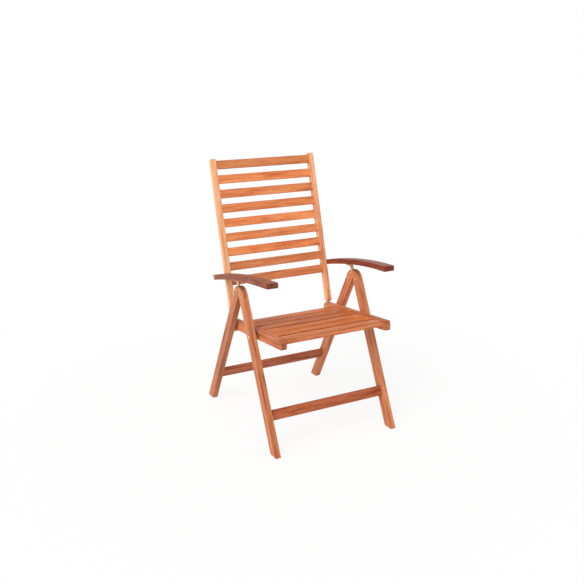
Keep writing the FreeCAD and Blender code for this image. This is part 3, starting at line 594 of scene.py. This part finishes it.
@dataclass
class Fasteners:
    """Bolts, nuts, washers, spacers and rivets that show, in millimetres; all of them lie along X.

    A head is drawn by rows of height and radius, as shares of its own, and for some of hexagon share.
    """
    shank: float = 4.0
    tip_chamfer: float = 0.6
    nut_air: float = 0.4          # under a nut
    side_air: float = 0.5         # beside a collar that something turns against
    rivet_head: Head = Head(5.5, 1.6)
    pivot_head: Head = Head(7.0, 4.0)
    pivot_nut: Head = Head(6.4, 7.0)
    pivot_grip: float = 3.0       # how far the pivot bolt goes into its nut
    spacer_radius: float = 10.0
    spacer_edge: float = 1.0
    slat_head: Head = Head(6.0, 7.0)
    slat_shank: float = 3.0
    slat_reach: float = 30.0      # how far the slat bolt goes past the rail's inner face
    arm_head: Head = Head(6.5, 4.0)
    arm_nut: Head = Head(6.5, 4.0)
    arm_grip: float = 1.1         # how far the armrest bolt goes into its nut
    washer_radius: float = 9.0
    washer_edge: float = 0.4
    # groups painted dull brown as the shade they sit in beside the legs
    shaded_groups: tuple[str, ...] = ("seat_slat_bolts",)

    def rivet(self, x0: float, x1: float) -> list[Triple]:
        """Cold-headed rivet between the planes x0 and x1: on both faces a low crown with a set mark."""
        mark = [(0.66, 0.0), (0.69, 0.2), (0.94, 0.31)]
        shares = mark + crown(1.0, 0.44, 0.0, 1.0)
        head = [(h * self.rivet_head.height, r * self.rivet_head.radius) for h, r in shares]
        near = [(x1 + h, r, 0.0) for h, r in head] + [(x1, self.shank, 0.0)]
        far = [(x0, self.shank, 0.0)] + [(x0 - h, r, 0.0) for h, r in reversed(head)]
        return near + far

    def button(self, x: float, end: float, size: Head, shank: float) -> list[Triple]:
        """Button-head bolt from the plane x down to end: a hexagon socket sunk into a low dome."""
        key = 0.36
        rim = 1.25 * key
        socket = [(0.34, 0.0, 0.0), (0.36, key, 1.0), (0.9, 1.03 * key, 1.0), (0.97, rim, 0.0)]
        head = socket + [(h, r, 0.0) for h, r in crown(1.0, 0.52, 0.0, 1.0)]
        tip = shank - self.tip_chamfer
        stem = [(x, shank, 0.0), (end + self.tip_chamfer, shank, 0.0), (end, tip, 0.0), (end, 0.0, 0.0)]
        return [(x + h * size.height, r * size.radius, six) for h, r, six in head] + stem

    def cap_nut(self, x: float, size: Head) -> list[Triple]:
        """Cap nut on the plane x: a chamfered hexagon below a dome."""
        dome = [(h, r, 0.0) for h, r in crown(1.0, 0.0, 0.5, 0.72)]
        shoulder = [(0.48, 0.84, 0.3), (0.42, 0.97, 0.9), (0.38, 1.0, 1.0)]
        foot = [(0.05, 1.0, 1.0), (0.0, 0.96, 0.7), (0.0, 0.0, 0.0)]
        return [(x + h * size.height, r * size.radius, six) for h, r, six in dome + shoulder + foot]

    def collar(self, x0: float, x1: float, radius: float, edge: float) -> list[Triple]:
        """Washer or spacer between the planes x0 and x1, its outer edges chamfered."""
        upper = [(x1, self.shank, 0.0), (x1, radius - edge, 0.0), (x1 - edge, radius, 0.0)]
        lower = [(x0 + edge, radius, 0.0), (x0, radius - edge, 0.0), (x0, self.shank, 0.0)]
        return upper + lower

    def flipped(self, profile: list[Triple], x: float) -> list[Triple]:
        """The same profile turned end for end about the plane x."""
        return [(2 * x - h, r, six) for h, r, six in reversed(profile)]

    def plate_axes(self) -> tuple[Pair, Pair]:
        """The plate's two rivets: the front one is the upper, the rear one the lower."""
        low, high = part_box("apex_plate_rivets")
        edge = self.rivet_head.radius * MM
        return (low[1] + edge, high[2] - edge), (high[1] - edge, low[2] + edge)

    def pivots(self) -> list[Turned]:
        """Seat pivots through the front legs and rails."""
        leg_in, leg_out = span_mm("front_leg_left")
        rail_in, rail_out = span_mm("seat_rail_left")
        seat = rail_in - self.nut_air
        bolt = self.button(leg_out, seat - self.pivot_grip, self.pivot_head, self.shank)
        nut = self.flipped(self.cap_nut(seat, self.pivot_nut), seat)
        spacer = self.collar(rail_out + self.side_air, leg_in, self.spacer_radius, self.spacer_edge)
        return [Turned("seat_pivot_bolts", "front_frame", bolt),
                Turned("seat_pivot_nuts", "front_frame", nut),
                Turned("seat_pivot_spacers", "front_frame", spacer, ring=True)]

    def rivets(self) -> list[Turned]:
        """Rivets of the apex plates and the hinge links."""
        leg_rivet = self.rivet(*span_mm("front_leg_left"))
        rail_rivet = self.rivet(*span_mm("seat_rail_left"))
        stile_rivet = self.rivet(*span_mm("back_stile_left"))
        return [Turned("apex_pivot_rivets", "front_frame", leg_rivet),
                Turned("apex_plate_rivets", "rear_frame", leg_rivet, axes=self.plate_axes()),
                Turned("lower_hinge_rivets", "seat", rail_rivet),
                Turned("upper_hinge_rivets", "backrest", stile_rivet)]

    def slat_bolts(self) -> list[Turned]:
        """Bolts through the rails into the end of one slat."""
        rail_in, rail_out = span_mm("seat_rail_left")
        bolt = self.button(rail_out, rail_in - self.slat_reach, self.slat_head, self.slat_shank)
        return [Turned("seat_slat_bolts", "seat", bolt)]

    def arm_bolts(self) -> list[Turned]:
        """Bolts through the stiles that the armrests turn on, with washers and cap nuts."""
        stile_in, stile_out = span_mm("back_stile_left")
        arm_out = span_mm("armrest_left")[1]
        washer_out = span_mm("armrest_washers")[1]
        seat = arm_out + self.nut_air
        length = seat + self.arm_grip - stile_in
        bolt = self.flipped(self.button(stile_in, stile_in - length, self.arm_head, self.shank), stile_in)
        washer = self.collar(stile_out, washer_out, self.washer_radius, self.washer_edge)
        return [Turned("armrest_bolts", "backrest", bolt),
                Turned("armrest_nuts", "backrest", self.cap_nut(seat, self.arm_nut)),
                Turned("armrest_washers", "backrest", washer, ring=True)]

    def build(self, bright: bpy.types.Material, dull: bpy.types.Material) -> None:
        """Turn every group of fasteners.

        Args:
            bright: the plating that most of them wear.
            dull: what the groups painted in shade wear, a dull brown that stands for the shadow beside the
                legs.
        """
        for group in self.pivots() + self.rivets() + self.slat_bolts() + self.arm_bolts():
            group.build(dull if group.node in self.shaded_groups else bright)


@dataclass
class Fittings:
    """Steel plates, links, pins and screws, and the turned fasteners."""
    plated: tuple[str, ...] = ("front_stretcher_pins", "rear_stretcher_pins", "apex_plate_left",
                               "apex_plate_right", "seat_support_pins", "hinge_link_left",
                               "hinge_link_right", "rack_screws_left", "rack_screws_right")
    # plates painted near black as the shade under the armrests
    shade_painted_plates: tuple[str, ...] = ("rack_plate_left", "rack_plate_right")

    def dress(self) -> None:
        """Straw plating for all but the racks and the slat bolts, whose colours are painted shade: near black
        on the racks, dull brown on the bolts.
        """
        straw, black = STEEL.material(), SHADED_RACK_STEEL.material()
        for name in self.plated:
            dress(name, straw)
        for name in self.shade_painted_plates:
            dress(name, black)
        Fasteners().build(straw, SHADED_BOLT_STEEL.material())


@dataclass
class Studio:
    """Pale floor, one broad soft lamp, an even surround, and the camera of the photograph."""
    camera_at: Triple = (-1.4965, -2.7767, 1.5134)
    heading: float = 27.86     # degrees from +Y towards +X
    pitch: float = 17.03       # degrees below level
    focal_px: float = 780.3
    frame_px: int = 584
    sensor_mm: float = 36.0
    lamp_from: Triple = (-0.70, -0.33, 0.64)
    lamp_strength: float = 2.25
    lamp_angle: float = 40.0   # how broad it looks from the chair, in degrees
    surround: float = 0.51     # light of the surround, which is plain white to the eye
    floor_half: float = 40.0
    floor_white: str = "#FBFAF9"
    floor_glow: float = 0.88   # share of plain white the camera sees round the chair's feet
    glow_span: Pair = (0.45, 1.9)   # where that share starts to rise, and where the floor is all white

    def build_camera(self) -> None:
        """Stand the camera where the photograph was taken from."""
        data = bpy.data.cameras.new("camera")
        data.sensor_width = self.sensor_mm
        data.lens = self.focal_px / self.frame_px * self.sensor_mm
        eye = bpy.data.objects.new("camera", data)
        eye.location = self.camera_at
        eye.rotation_euler = (math.radians(90 - self.pitch), 0.0, math.radians(-self.heading))
        bpy.context.scene.collection.objects.link(eye)
        bpy.context.scene.camera = eye

    def build_light(self) -> None:
        """A broad lamp from the upper left and an even white surround."""
        data = bpy.data.lights.new("soft_lamp", "SUN")
        data.energy = self.lamp_strength
        data.angle = math.radians(self.lamp_angle)
        lamp = bpy.data.objects.new("soft_lamp", data)
        x, y, z = self.lamp_from
        lamp.rotation_euler = (0.0, math.atan2(math.hypot(x, y), z), math.atan2(y, x))
        bpy.context.scene.collection.objects.link(lamp)
        world = bpy.data.worlds.new("surround")
        bpy.context.scene.world = world
        world.use_nodes = True
        tree = world.node_tree
        tree.nodes.clear()
        path = add(tree, "ShaderNodeLightPath").outputs
        seen = path["Is Camera Ray"]
        for kind in ("Is Glossy Ray", "Is Transmission Ray"):
            seen = add(tree, "ShaderNodeMath", {0: seen, 1: path[kind]}, operation="MAXIMUM").outputs[0]
        level = add(tree, "ShaderNodeMapRange", {"Value": seen, "To Min": self.surround}).outputs[0]
        glow = add(tree, "ShaderNodeBackground", {"Color": WHITE, "Strength": level})
        add(tree, "ShaderNodeOutputWorld", {"Surface": glow.outputs[0]})

    def build_floor(self) -> None:
        """A flat square floor: x and y run from -floor_half to floor_half, z is zero."""
        ends = np.array([-self.floor_half, self.floor_half])
        u, v = np.meshgrid(ends, ends)
        points = np.stack([u.ravel(), v.ravel(), np.zeros(u.size)], 1)
        mesh = bpy.data.meshes.new("floor")
        mesh.from_pydata(points.tolist(), [], [(0, 1, 3, 2)])
        floor = bpy.data.objects.new("floor", mesh)
        bpy.context.scene.collection.objects.link(floor)
        mesh.materials.append(self.floor_finish())

    def floor_finish(self) -> bpy.types.Material:
        """Matt white that takes shadows, and that the camera sees fade to plain white away from the chair."""
        made = blank_material("pale_floor")
        tree = made.node_tree
        seen = add(tree, "ShaderNodeLightPath").outputs["Is Camera Ray"]
        matt = add(tree, "ShaderNodeBsdfDiffuse", {"Color": linear(self.floor_white)}).outputs[0]
        white = add(tree, "ShaderNodeEmission", {"Color": WHITE, "Strength": 1.0}).outputs[0]
        place = add(tree, "ShaderNodeTexCoord").outputs["Object"]
        away = add(tree, "ShaderNodeVectorMath", {0: place}, operation="LENGTH").outputs["Value"]
        sockets = {"Value": away, "From Min": self.glow_span[0], "From Max": self.glow_span[1],
                   "To Min": self.floor_glow}
        fade = add(tree, "ShaderNodeMapRange", sockets, interpolation_type="SMOOTHSTEP").outputs[0]
        share = add(tree, "ShaderNodeMath", {0: seen, 1: fade}, operation="MULTIPLY").outputs[0]
        both = add(tree, "ShaderNodeMixShader", {0: share, 1: matt, 2: white})
        add(tree, "ShaderNodeOutputMaterial", {"Surface": both.outputs[0]})
        return made


def main() -> None:
    """Dress the chair and stand it in the studio."""
    logging.basicConfig(level=logging.INFO, format="%(name)s: %(message)s")
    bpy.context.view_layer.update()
    for part in (Legs(), Seat(), Back(), Armrests(), Fittings()):
        part.dress()
    studio = Studio()
    studio.build_floor()
    studio.build_light()
    studio.build_camera()
    bpy.context.scene.view_settings.view_transform = "Standard"


if __name__ == "__main__":
    main()
